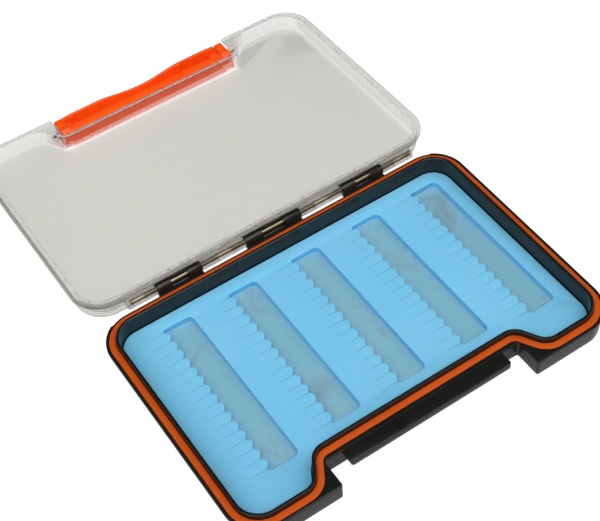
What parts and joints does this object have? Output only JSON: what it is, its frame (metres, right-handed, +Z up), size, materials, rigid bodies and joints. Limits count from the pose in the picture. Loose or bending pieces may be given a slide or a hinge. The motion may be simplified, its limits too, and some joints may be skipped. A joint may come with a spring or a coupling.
{
  "type": "fly box",
  "caption": "Slim hinged case with a clear lid, a sealing ring, a front swing latch and a slitted soft insert for holding small hooks.",
  "frame": {"origin": "centre of the tray's underside, on the table", "axes": "+X along the hinge, +Y from the latch side to the hinge side, +Z up; the lid is stored laid open flat behind the tray"},
  "size_m": [0.1648, 0.2209, 0.0136],
  "materials": {
    "black_plastic": "satin",
    "seal_rubber": "matte",
    "blue_silicone": "matte",
    "backing_sheet": "matte",
    "adhesive": "matte",
    "pin_steel": "drawn",
    "clear_plastic": "clear polished",
    "orange_plastic": "satin"
  },
  "bodies": {
    "tray": {"base_tray": "black_plastic", "gasket": "seal_rubber", "silicone_insert": "blue_silicone", "insert_backing": "backing_sheet", "adhesive_film": "adhesive", "hinge_pin": "pin_steel"},
    "lid": {"lid": "clear_plastic", "latch_pins": "pin_steel"},
    "latch": {"latch": "orange_plastic"}
  },
  "joints": [
    {"name": "lid_hinge", "type": "hinge", "parent": "tray", "child": "lid", "pos_m": [0, 0.0565, 0.0114], "axis": [1, 0, 0], "range_deg": [0, 181.8]},
    {"name": "latch_pivot", "type": "hinge", "parent": "lid", "child": "latch", "pos_m": [0, 0.15793, 0.00741], "axis": [1, 0, 0], "range_deg": [0, 90]}
  ]
}
